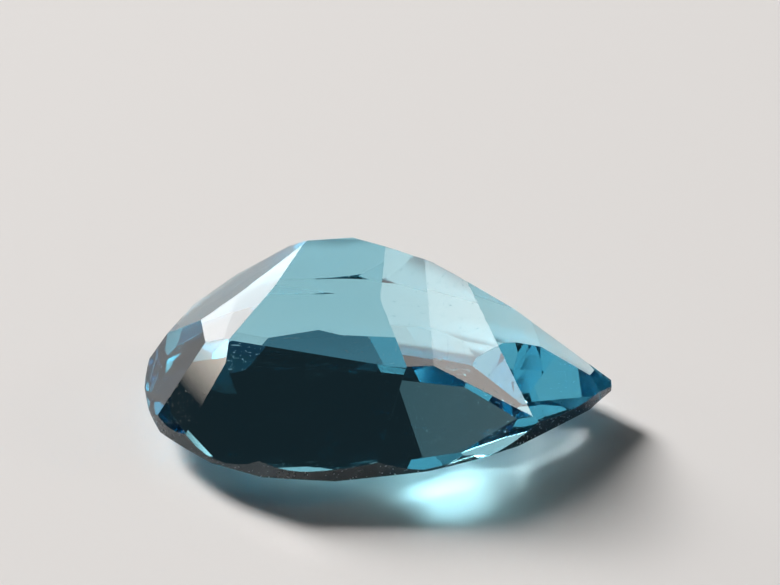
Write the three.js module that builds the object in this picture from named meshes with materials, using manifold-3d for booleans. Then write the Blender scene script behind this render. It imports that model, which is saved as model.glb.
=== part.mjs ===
// A pear-cut topaz, lying upside down: the flat table is at the bottom, the pavilion points up.
//
// Millimetres, +Z up. The origin is under the middle of the stone, on the plane it rests on.
// +X runs along the stone to its pointed tip, and the outline mirrors across the XZ plane.
//
// A cutter starts from a blank with the outline of the girdle and grinds flat facets into it, one
// after another. This model is made in the same way: an upright pear-shaped prism, and one large
// block taken off it for each facet.

import * as THREE from 'three';
import { mergeVertices } from 'three/addons/utils/BufferGeometryUtils.js';
import Module from 'manifold-3d';

// ---- Driving dimensions ----------------------------------------------------------------------

const LENGTH = 20.3; // tip to round end
const WIDTH = 13.0; // at the widest place
const ROUND_LENGTH = 6.7; // round end to the widest place
const TAPER_START = 2.4; // a higher power keeps the full width for longer
const TAPER_END = 0.94; // a higher power draws the tip in sooner
const TIP_WIDTH = 0.5; // the tip is blunted, so that it does not chip

const CROWN_HEIGHT = 1.45; // table to girdle
const GIRDLE_HEIGHT = 0.4; // the upright band between crown and pavilion
const PAVILION_HEIGHT = 7.8; // room for the pavilion in the blank, before its keel is ground

const ROUND_STEPS = 40; // girdle facets round the blunt end
const TAPER_STEPS = 22; // girdle facets along each straight side

// Facets. Each one leans in from the girdle: `turn` is its direction in plan, in degrees from the
// tip (above zero on the left side, seen from the round end), `slope` is its angle to the girdle
// plane, and `inset` is how far inside the outline it meets the edge of the girdle, in millimetres.
// Below zero it would meet it outside the outline, so that the facet only shows higher up.

// The pavilion is the upper side as the stone lies. Its two flanks are alike but are not mirror
// images. Most facets match their partner to within 6 degrees of turn and 2 degrees of slope. The one
// at 124 is 11 degrees steeper on the right, and the upper rear flank is there on the left only. In
// each list the low facets come first.
const PAVILION_RIGHT_FACETS = [
  { turn: -42, slope: 46.0, inset: 0.15 }, // beside the tip
  { turn: -69, slope: 60.0, inset: 0.3 }, // flank towards the tip
  { turn: -93, slope: 51.5, inset: 0.0 }, // widest flank
  { turn: -124, slope: 66.0, inset: 0.1 }, // low between that flank and the shoulder
  { turn: -153, slope: 61.5, inset: 0.0 }, // shoulder of the round end
  { turn: -53, slope: 45.5, inset: -0.4 }, // above the tip
  { turn: -64, slope: 42.5, inset: -1.3 }, // upper flank towards the tip
  { turn: -76, slope: 45.5, inset: -1.7 }, // bridge between the two upper flanks
  { turn: -92, slope: 46.5, inset: -0.6 }, // upper flank
  { turn: -90, slope: 37.0, inset: -2.8 }, // keel
];

const PAVILION_LEFT_FACETS = [
  { turn: 38, slope: 46.5, inset: 0.15 }, // beside the tip
  { turn: 72, slope: 61.0, inset: 0.45 }, // flank towards the tip
  { turn: 92, slope: 53.5, inset: 0.4 }, // widest flank
  { turn: 124, slope: 55.0, inset: -0.2 }, // rear flank
  { turn: 150, slope: 63.5, inset: 0.1 }, // shoulder of the round end
  { turn: 50, slope: 45.0, inset: -0.45 }, // above the tip
  { turn: 65, slope: 42.0, inset: -1.4 }, // upper flank towards the tip
  { turn: 76, slope: 45.5, inset: -1.7 }, // bridge between the two upper flanks
  { turn: 91, slope: 47.5, inset: -0.65 }, // upper flank
  { turn: 96, slope: 38.0, inset: -2.85 }, // keel
  { turn: 153, slope: 44.5, inset: -0.7 }, // upper rear flank
];

const PAVILION_END_FACETS = [
  { turn: 183, slope: 60.5, inset: 0.3 }, // low on the round end
  { turn: 183, slope: 42.5, inset: -1.55 }, // middle of the round end
  { turn: 187, slope: 38.0, inset: -2.5 }, // high on the round end
];

// The crown is underneath, with its table as the plane that the stone rests on. It mirrors from side
// to side, except that the facet of its round end is turned 5 degrees. Main facets run from the
// girdle to the table, and shallow star facets are ground over the edge of the table.
const CROWN_MAIN_PAIRS = [
  { turn: 34, slope: 40.0, inset: 0 },
  { turn: 53, slope: 44.0, inset: 0 },
  { turn: 64, slope: 36.5, inset: 0 },
  { turn: 70, slope: 32.5, inset: 0 },
  { turn: 81, slope: 33.0, inset: 0 },
  { turn: 97, slope: 32.5, inset: 0 },
  { turn: 117, slope: 40.0, inset: 0 },
  { turn: 137, slope: 35.5, inset: 0 },
];

const CROWN_END_FACETS = [
  { turn: 185, slope: 34.5, inset: 0 },
];

const CROWN_STAR_PAIRS = [
  { turn: 45, slope: 16.0, inset: -1.45 },
  { turn: 56, slope: 20.0, inset: -1.5 },
  { turn: 66, slope: 19.5, inset: -1.4 },
  { turn: 78, slope: 15.0, inset: -2.3 },
  { turn: 92, slope: 15.0, inset: -2.3 },
  { turn: 108, slope: 20.0, inset: -1.3 },
  { turn: 127, slope: 20.0, inset: -1.7 },
  { turn: 161, slope: 19.5, inset: -1.3 },
];

// ---- Outline of the girdle -------------------------------------------------------------------

const WIDEST_X = ROUND_LENGTH - LENGTH / 2;
const TIP_X = LENGTH / 2;

// Half the width of the pear at a distance x along its axis, between the widest place and the tip.
function taperHalfWidth(x) {
  const along = (x - WIDEST_X) / (TIP_X - WIDEST_X);
  const pear = (WIDTH / 2) * (1 - along ** TAPER_START) ** TAPER_END;
  return Math.max(pear, TIP_WIDTH / 2);
}

function girdleOutline() {
  const points = [];
  for (let i = 0; i <= ROUND_STEPS; i += 1) {
    const angle = Math.PI / 2 + (Math.PI * i) / ROUND_STEPS;
    points.push(new THREE.Vector2(
      WIDEST_X + ROUND_LENGTH * Math.cos(angle),
      (WIDTH / 2) * Math.sin(angle),
    ));
  }
  for (let i = 1; i <= TAPER_STEPS; i += 1) {
    const x = WIDEST_X + ((TIP_X - WIDEST_X) * i) / TAPER_STEPS;
    points.push(new THREE.Vector2(x, -taperHalfWidth(x)));
  }
  const mirrored = points.slice(ROUND_STEPS + 1).reverse().map((p) => new THREE.Vector2(p.x, -p.y));
  return points.concat(mirrored);
}

const outline = girdleOutline();

// How far the outline reaches from the origin in one direction: a facet that leans in from the
// girdle touches it there.
function reach(direction) {
  return Math.max(...outline.map((point) => point.dot(direction)));
}

// ---- Solids ----------------------------------------------------------------------------------

const wasm = await Module();
wasm.setup();

function solidFrom(geometry) {
  const bare = geometry.clone();
  bare.deleteAttribute('normal');
  bare.deleteAttribute('uv');
  const merged = mergeVertices(bare);
  return new wasm.Manifold(new wasm.Mesh({
    numProp: 3,
    vertProperties: new Float32Array(merged.attributes.position.array),
    triVerts: new Uint32Array(merged.index.array),
  }));
}

function geometryFrom(solid) {
  const mesh = solid.getMesh();
  const geometry = new THREE.BufferGeometry();
  geometry.setAttribute('position', new THREE.BufferAttribute(mesh.vertProperties, 3));
  geometry.setIndex(new THREE.BufferAttribute(mesh.triVerts, 1));
  geometry.computeVertexNormals();
  return geometry;
}

const STONE_HEIGHT = CROWN_HEIGHT + GIRDLE_HEIGHT + PAVILION_HEIGHT;
const CUTTER_SIZE = 4 * LENGTH;

// The block that grinds one facet. Its inner face lies on the plane of the facet, which rises
// (side = 1) or falls (side = -1) from the edge of the girdle at height edgeZ.
function facetCutter({ turn, slope, inset }, edgeZ, side) {
  const plan = THREE.MathUtils.degToRad(turn);
  const tilt = THREE.MathUtils.degToRad(slope);
  const direction = new THREE.Vector2(Math.cos(plan), Math.sin(plan));
  const distance = reach(direction) - inset;
  const normal = new THREE.Vector3(
    Math.sin(tilt) * direction.x,
    Math.sin(tilt) * direction.y,
    side * Math.cos(tilt),
  );
  const block = new THREE.BoxGeometry(CUTTER_SIZE, CUTTER_SIZE, CUTTER_SIZE);
  block.translate(0, 0, CUTTER_SIZE / 2);
  block.applyQuaternion(new THREE.Quaternion().setFromUnitVectors(new THREE.Vector3(0, 0, 1), normal));
  block.translate(distance * direction.x, distance * direction.y, edgeZ);
  return solidFrom(block);
}

function grind(stone, facets, edgeZ, side) {
  return facets.reduce((ground, facet) => ground.subtract(facetCutter(facet, edgeZ, side)), stone);
}

// A list of facets for the left side, with the mirror image of each for the right side.
function bothSides(facets) {
  return facets.flatMap((facet) => [facet, { ...facet, turn: -facet.turn }]);
}

function stoneGeometry() {
  const blank = new THREE.ExtrudeGeometry(new THREE.Shape(outline), {
    depth: STONE_HEIGHT,
    bevelEnabled: false,
  });
  const girdleTop = CROWN_HEIGHT + GIRDLE_HEIGHT;
  let stone = solidFrom(blank);
  stone = grind(stone, PAVILION_RIGHT_FACETS, girdleTop, 1);
  stone = grind(stone, PAVILION_LEFT_FACETS, girdleTop, 1);
  stone = grind(stone, PAVILION_END_FACETS, girdleTop, 1);
  stone = grind(stone, bothSides(CROWN_MAIN_PAIRS), CROWN_HEIGHT, -1);
  stone = grind(stone, CROWN_END_FACETS, CROWN_HEIGHT, -1);
  stone = grind(stone, bothSides(CROWN_STAR_PAIRS), CROWN_HEIGHT, -1);
  return geometryFrom(stone);
}

// ---- The stone -------------------------------------------------------------------------------

const topazGlass = new THREE.MeshStandardMaterial({
  color: 0x8fc4d2,
  roughness: 0.05,
  metalness: 0,
  flatShading: true,
});

const topaz = new THREE.Mesh(stoneGeometry(), topazGlass);
topaz.name = 'topaz';

const gem = new THREE.Group();
gem.add(topaz);

export default gem;
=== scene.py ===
# %% [markdown]
# # A pear-cut topaz, lying upside down
#
# A loose blue topaz rests on its flat table, so that the pavilion, the deep side with the keel,
# points up. Nothing on it is painted. All that the eye sees is light that the flat facets mirror,
# bend and send round inside the stone, tinted by the way that it went through the blue. So this
# lesson is about three things: facets that are truly flat, a glass with the right numbers, and
# surroundings that are worth mirroring.
#
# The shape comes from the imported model, which is loaded first and is never changed.

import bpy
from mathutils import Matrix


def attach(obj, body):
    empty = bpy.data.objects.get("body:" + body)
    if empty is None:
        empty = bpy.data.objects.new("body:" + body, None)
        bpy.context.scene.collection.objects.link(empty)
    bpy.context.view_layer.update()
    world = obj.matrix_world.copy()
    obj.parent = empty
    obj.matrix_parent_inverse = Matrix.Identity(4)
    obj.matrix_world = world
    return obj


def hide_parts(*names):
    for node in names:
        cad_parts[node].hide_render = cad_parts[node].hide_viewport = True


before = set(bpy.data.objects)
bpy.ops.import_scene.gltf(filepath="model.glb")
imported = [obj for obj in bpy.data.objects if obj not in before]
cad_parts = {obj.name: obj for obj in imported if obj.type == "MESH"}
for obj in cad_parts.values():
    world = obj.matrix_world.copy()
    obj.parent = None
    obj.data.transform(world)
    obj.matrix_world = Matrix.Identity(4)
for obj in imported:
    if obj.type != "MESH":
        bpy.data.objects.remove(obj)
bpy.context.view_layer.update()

# %% Names for units
import math

import bmesh
import bpy
from mathutils import Matrix, Vector

MM = 0.001


def linear(hex_colour):
    """An sRGB hex colour such as "a0c4d8" as the linear values that Blender works in."""
    parts = [int(hex_colour[i:i + 2], 16) / 255 for i in (0, 2, 4)]
    return tuple(p / 12.92 if p <= 0.04045 else ((p + 0.055) / 1.055) ** 2.4 for p in parts)


print("mid grey 808080 is", [round(value, 3) for value in linear("808080")], "in linear values")

# %% [markdown]
# ## The cut stone
#
# The model's mesh is loose triangles, and a facet is many of them. A renderer doesn't mind, but an
# edge does: to wear the edges a little, as they are on a stone that has been handled, each facet
# has to be one face. So a copy is made, its doubled points are merged, and flat neighbours are
# dissolved into one face.
#
# The girdle is the upright band round the stone. It is ground round rather than cut in facets, so
# its faces are shaded smooth and the edges between them are left alone.

# %% Copy the facets into one clean mesh
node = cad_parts["topaz"]
GIRDLE_LEAN = 0.02  # a face whose normal leans less than this is part of the upright girdle
SAME_FACET = math.radians(0.2)  # triangles that turn less than this are one facet
SAME_POINT = 0.0005 * MM  # corners closer than this are one corner

stone_bm = bmesh.new()
stone_bm.from_mesh(node.data)
bmesh.ops.remove_doubles(stone_bm, verts=stone_bm.verts, dist=SAME_POINT)
bmesh.ops.dissolve_limit(
    stone_bm,
    angle_limit=SAME_FACET,
    verts=stone_bm.verts,
    edges=stone_bm.edges,
)
stone_bm.normal_update()
girdle_faces = [f for f in stone_bm.faces if abs(f.normal.z) < GIRDLE_LEAN]
print(len(stone_bm.faces) - len(girdle_faces), "facets and", len(girdle_faces), "girdle faces")

# %% Wear the facet edges
EDGE_WEAR = 0.03 * MM  # how wide the worn edge between two facets is

worn = [e for e in stone_bm.edges if any(f not in girdle_faces for f in e.link_faces)]
bmesh.ops.bevel(
    stone_bm,
    geom=worn,
    offset=EDGE_WEAR / 2,
    offset_type="OFFSET",
    segments=1,
    profile=0.5,
    affect="EDGES",
    clamp_overlap=True,
)
stone_bm.normal_update()
for face in stone_bm.faces:
    face.smooth = abs(face.normal.z) < GIRDLE_LEAN
    face.material_index = 1 if face.smooth else 0

stone_mesh = bpy.data.meshes.new("cut_topaz")
stone_bm.to_mesh(stone_mesh)
stone_bm.free()
stone = bpy.data.objects.new("cut_topaz", stone_mesh)
bpy.context.scene.collection.objects.link(stone)
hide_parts("topaz")
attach(stone, "root")
print("the dressed stone has", len(stone_mesh.polygons), "faces")

# %% [markdown]
# ## Topaz
#
# Topaz is a clear silicate. Its refractive index is 1.61 to 1.64, well above window glass, and that
# number decides at which angle a facet stops letting light out and mirrors it instead. The colour
# is not on the surface but in the depth: red light is used up first, so a short way through the
# stone is almost clear and a long way is deep blue. Volume Absorption does exactly that, and its
# values stand on its own sockets.
#
# A polished facet is mirror smooth but for a few specks of dust and hair-thin scratches. Where one
# of them lies the roughness is higher, and nothing else changes. The girdle is ground and not
# polished, so it is duller all over.

# %% A helper that adds one node
def add_node(tree, kind, links=None, **settings):
    """Adds a node, sets its properties or sockets by name, and links sockets from other nodes."""
    made = tree.nodes.new(kind)
    for name, value in settings.items():
        if name in made.bl_rna.properties:
            setattr(made, name, value)
        else:
            made.inputs[name.replace("_", " ")].default_value = value
    for name, source in (links or {}).items():
        tree.links.new(source, made.inputs[name])
    return made


# %% Polished and ground topaz
TOPAZ_IOR = 1.62
DEPTH_COLOUR = "3edef0"  # what white light has become after one unit of the density below
ABSORPTION_PER_METRE = 105

SPECK_GRAIN = 0.1 * MM  # size of the pattern that the specks of dust are taken from
SPECK_LEVEL = 0.74  # only where the pattern is higher than this is there a speck
SCRATCH_GRAIN = 0.08 * MM  # size, across them, of the pattern that the scratches are taken from
SCRATCH_LEVEL = 0.80
SCRATCH_SQUEEZE = (0.05, 1.0, 1.0)  # makes them twenty times as long, along the stone
SCRATCH_TURN = (0.3, 0.5, 0.9)  # keeps the pattern's own grid away from the stone's axes
SOFT_RIM = 0.06  # how much higher the pattern is where a speck or a scratch is at its full strength


def rare(tree, vector, grain, level):
    """A pattern that is 0 nearly everywhere and rises to 1 in a few small places."""
    noise = add_node(tree, "ShaderNodeTexNoise", {"Vector": vector}, Scale=1 / grain, Detail=0.0)
    return add_node(
        tree, "ShaderNodeMapRange", {"Value": noise.outputs["Fac"]},
        From_Min=level, From_Max=level + SOFT_RIM,
    ).outputs["Result"]


def topaz_material(name, clean_roughness, worn_roughness):
    """Clear blue topaz with a roughness, and another one where it is scratched or dusty."""
    material = bpy.data.materials.new(name)
    material.use_nodes = True
    tree = material.node_tree
    tree.nodes.clear()
    position = add_node(tree, "ShaderNodeTexCoord").outputs["Object"]
    specks = rare(tree, position, SPECK_GRAIN, SPECK_LEVEL)
    along = add_node(
        tree, "ShaderNodeMapping", {"Vector": position},
        Rotation=SCRATCH_TURN, Scale=SCRATCH_SQUEEZE,
    )
    scratches = rare(tree, along.outputs["Vector"], SCRATCH_GRAIN, SCRATCH_LEVEL)
    wear = add_node(tree, "ShaderNodeMath", {0: specks, 1: scratches}, operation="MAXIMUM")
    polish = add_node(
        tree, "ShaderNodeMapRange", {"Value": wear.outputs[0]},
        To_Min=clean_roughness, To_Max=worn_roughness,
    )
    glass = add_node(
        tree, "ShaderNodeBsdfPrincipled", {"Roughness": polish.outputs["Result"]},
        Base_Color=(1, 1, 1, 1), IOR=TOPAZ_IOR, Transmission_Weight=1.0,
    )
    depth = add_node(
        tree, "ShaderNodeVolumeAbsorption",
        Color=(*linear(DEPTH_COLOUR), 1), Density=ABSORPTION_PER_METRE,
    )
    add_node(
        tree, "ShaderNodeOutputMaterial",
        {"Surface": glass.outputs["BSDF"], "Volume": depth.outputs["Volume"]},
    )
    return material


polished_topaz = topaz_material("polished_topaz", clean_roughness=0.0, worn_roughness=0.2)
ground_topaz = topaz_material("ground_topaz", clean_roughness=0.2, worn_roughness=0.4)
stone_mesh.materials.append(polished_topaz)
stone_mesh.materials.append(ground_topaz)
print("refraction", TOPAZ_IOR, "and materials", [m.name for m in stone_mesh.materials])

# %% [markdown]
# ## The sheet of paper
#
# The stone lies on a large sheet of matt white paper. Paper is rough, so a thin film of air stays
# under the table, and the sheet lies a hair below the stone for it. That film matters: a facet
# mirrors light on the inside of the stone only where there is air behind it. With the sheet right
# against the table, the dark facets come out plain black.

# %% A pale sheet to lie on
SHEET_SIZE = 1.2
AIR_GAP = 0.02 * MM
PAPER_COLOUR = "e3dfdc"
PAPER_ROUGHNESS = 0.9
PAPER_SPECULAR = 0.2  # less than half of what Blender gives a surface by default

sheet_mesh = bpy.data.meshes.new("paper_sheet")
half = SHEET_SIZE / 2
sheet_mesh.from_pydata(
    [(-half, -half, 0), (half, -half, 0), (half, half, 0), (-half, half, 0)], [], [(0, 1, 2, 3)],
)
sheet = bpy.data.objects.new("paper_sheet", sheet_mesh)
sheet.location.z = -AIR_GAP
bpy.context.scene.collection.objects.link(sheet)
paper = bpy.data.materials.new("matt_paper")
paper.use_nodes = True
paper_shader = paper.node_tree.nodes["Principled BSDF"]
paper_shader.inputs["Base Color"].default_value = (*linear(PAPER_COLOUR), 1)
paper_shader.inputs["Roughness"].default_value = PAPER_ROUGHNESS
paper_shader.inputs["Specular IOR Level"].default_value = PAPER_SPECULAR
sheet_mesh.materials.append(paper)
print("the sheet lies", round(-sheet.location.z / MM, 3), "mm below the table")

# %% Where the viewer stands
VIEW_TURN = math.radians(-7.8)  # how far the view is turned from straight along +Y
VIEW_HEIGHT = math.radians(32.8)  # how steeply the view looks down
VIEW_ROLL = math.radians(3.8)  # how far the view is tipped to one side
LENS = 161.5  # millimetres, as the sensor width is
SENSOR_WIDTH = 36
DISTANCE = 151.5 * MM
NEAREST = 0.001  # metres, as FARTHEST is; nothing outside the two is drawn
FARTHEST = 20
FRAME_WIDTH, FRAME_HEIGHT = 780, 585
STONE_PIXEL = (379.4, 386.4)  # where the middle of the girdle comes in the frame
CROWN_HEIGHT = 1.45 * MM
GIRDLE_HEIGHT = 0.4 * MM
GIRDLE_MIDDLE = Vector((0, 0, CROWN_HEIGHT + GIRDLE_HEIGHT / 2))


def view_axes(turn, height, roll):
    """Right, up and back of a camera that looks along +Y when nothing is turned."""
    level = math.cos(height)
    forward = Vector((-math.sin(turn) * level, math.cos(turn) * level, -math.sin(height)))
    right = Vector((math.cos(turn), math.sin(turn), 0))
    axes = Matrix((right, right.cross(forward), -forward)).transposed()
    return axes @ Matrix.Rotation(roll, 3, "Z")


camera_data = bpy.data.cameras.new("camera")
camera_data.lens = LENS
camera_data.sensor_width = SENSOR_WIDTH
camera_data.clip_start = NEAREST
camera_data.clip_end = FARTHEST
camera = bpy.data.objects.new("camera", camera_data)
bpy.context.scene.collection.objects.link(camera)
bpy.context.scene.camera = camera

camera_axes = view_axes(VIEW_TURN, VIEW_HEIGHT, VIEW_ROLL)
focal_pixels = LENS / SENSOR_WIDTH * FRAME_WIDTH
to_stone = camera_axes @ Vector((
    (STONE_PIXEL[0] - FRAME_WIDTH / 2) / focal_pixels,
    -(STONE_PIXEL[1] - FRAME_HEIGHT / 2) / focal_pixels,
    -1,
))
camera_place = camera_axes.to_4x4()
camera_place.translation = GIRDLE_MIDDLE - to_stone * DISTANCE
camera.matrix_world = camera_place
print("the camera is", round(camera_place.translation.length * 100, 1), "cm from the stone")

# %% [markdown]
# ## The room
#
# A clear stone shows its surroundings, so these matter as much as the stone. The room is dark, and
# that is what the dark facets show. Each bright thing in it is small, and is seen in the few facets
# that mirror or bend that direction towards the viewer. They are placed for this one view: seen
# from another side, the stone shows them wherever they happen to fall.
#
# - a bright patch of sky, high on the left and behind, lights the paper, throws the shadow, and is
#   gathered by the stone into the bright spot in that shadow;
# - the window below it, and a low warm sill to the left of that, stand in the facets of the round
#   end;
# - two warm lamps on the right whiten the facets towards the tip;
# - a dim wall lifts the grey facet beside the darkest ones, and a blue far wall shows in the band
#   above them.

# %% A soft light with faded edges
LIGHT_DISTANCE = 2.0


def soft_light(name, turn, height, half_wide, half_high, edge, radiance, colour):
    """A rectangular light that faces the stone. Its angles are degrees, as the stone sees them.

    The turn is counted from the viewer's right, and 90 is straight behind the stone.
    """
    direction = math.radians(turn) + VIEW_TURN
    lift = math.radians(height)
    fading = math.radians(edge)
    width = 2 * LIGHT_DISTANCE * math.tan(math.radians(half_wide) + fading)
    tall = 2 * LIGHT_DISTANCE * math.tan(math.radians(half_high) + fading)
    data = bpy.data.lights.new(name, "AREA")
    data.shape = "RECTANGLE"
    data.size = width
    data.size_y = tall
    data.energy = radiance * math.pi * width * tall
    data.color = linear(colour)
    data.use_nodes = True
    tree = data.node_tree
    across_light = add_node(tree, "ShaderNodeTexCoord").outputs["UV"]
    across = add_node(tree, "ShaderNodeSeparateXYZ", {0: across_light})
    fades = []
    for axis, extent in (("X", width), ("Y", tall)):
        flipped = add_node(
            tree, "ShaderNodeMath", {1: across.outputs[axis]}, operation="SUBTRACT",
        )
        flipped.inputs[0].default_value = 1
        to_edge = add_node(
            tree, "ShaderNodeMath", {0: across.outputs[axis], 1: flipped.outputs[0]},
            operation="MINIMUM",
        )
        faded_part = 2 * LIGHT_DISTANCE * math.tan(fading) / extent
        fades.append(add_node(
            tree, "ShaderNodeMapRange", {"Value": to_edge.outputs[0]}, From_Max=faded_part,
        ).outputs["Result"])
    fade = add_node(tree, "ShaderNodeMath", {0: fades[0], 1: fades[1]}, operation="MULTIPLY")
    tree.links.new(fade.outputs[0], tree.nodes["Emission"].inputs["Strength"])
    light = bpy.data.objects.new(name, data)
    bpy.context.scene.collection.objects.link(light)
    towards = Vector((
        math.cos(direction) * math.cos(lift),
        math.sin(direction) * math.cos(lift),
        math.sin(lift),
    ))
    light.location = towards * LIGHT_DISTANCE
    light.rotation_mode = "QUATERNION"
    light.rotation_quaternion = (-towards).to_track_quat("-Z", "Y")
    light.visible_camera = False
    return light


# %% The sky, the window, the lamps and the walls
WHITE = "ffffff"
WARM_LAMP = "fff2ea"
WARM_SILL = "fff4e6"
BLUE_WALL = "a8dcf0"

lights = [
    soft_light(
        "bright_sky", turn=144, height=36, half_wide=8, half_high=8, edge=2,
        radiance=58, colour=WHITE,
    ),
    soft_light(
        "window", turn=135, height=14, half_wide=6, half_high=8, edge=2,
        radiance=7.5, colour=WHITE,
    ),
    soft_light(
        "window_foot", turn=170, height=7.2, half_wide=5, half_high=4, edge=0.5,
        radiance=9, colour=WARM_SILL,
    ),
    soft_light(
        "upper_lamp", turn=-12, height=48, half_wide=4, half_high=4, edge=1,
        radiance=3.0, colour=WARM_LAMP,
    ),
    soft_light(
        "lower_lamp", turn=2, height=35, half_wide=4, half_high=4, edge=1,
        radiance=5.0, colour=WARM_LAMP,
    ),
    soft_light(
        "dim_wall", turn=116, height=35, half_wide=6, half_high=6, edge=2,
        radiance=0.12, colour=WHITE,
    ),
    soft_light(
        "far_wall", turn=93, height=6.5, half_wide=8, half_high=3.5, edge=1.5,
        radiance=0.42, colour=BLUE_WALL,
    ),
]
print("lights:", ", ".join(light.name for light in lights))

# %% The dark room behind them
ROOM_COLOUR = "aab4bc"
ROOM_STRENGTH = 0.05

room = bpy.data.worlds.new("room")
room.use_nodes = True
background = room.node_tree.nodes["Background"]
background.inputs["Color"].default_value = (*linear(ROOM_COLOUR), 1)
background.inputs["Strength"].default_value = ROOM_STRENGTH
bpy.context.scene.world = room

# %% Let light go round inside the stone
# A ray may be mirrored a dozen times before it finds a way out. Blender stops earlier unless told.
# The bright spot in the shadow is light that the stone has gathered. Clamping bright rays would cut
# it away, so clamping is off, and mirrored rays are filtered only a little, for the same reason.
MOST_TURNS = 24
MOST_MIRROR_TURNS = 16
NO_CLAMP = 0
LIGHT_FILTER = 0.15

scene = bpy.context.scene
scene.cycles.max_bounces = MOST_TURNS
scene.cycles.transmission_bounces = MOST_TURNS
scene.cycles.glossy_bounces = MOST_MIRROR_TURNS
scene.cycles.sample_clamp_indirect = NO_CLAMP
scene.cycles.blur_glossy = LIGHT_FILTER
scene.view_settings.view_transform = "Standard"
print("a ray may turn", scene.cycles.max_bounces, "times")
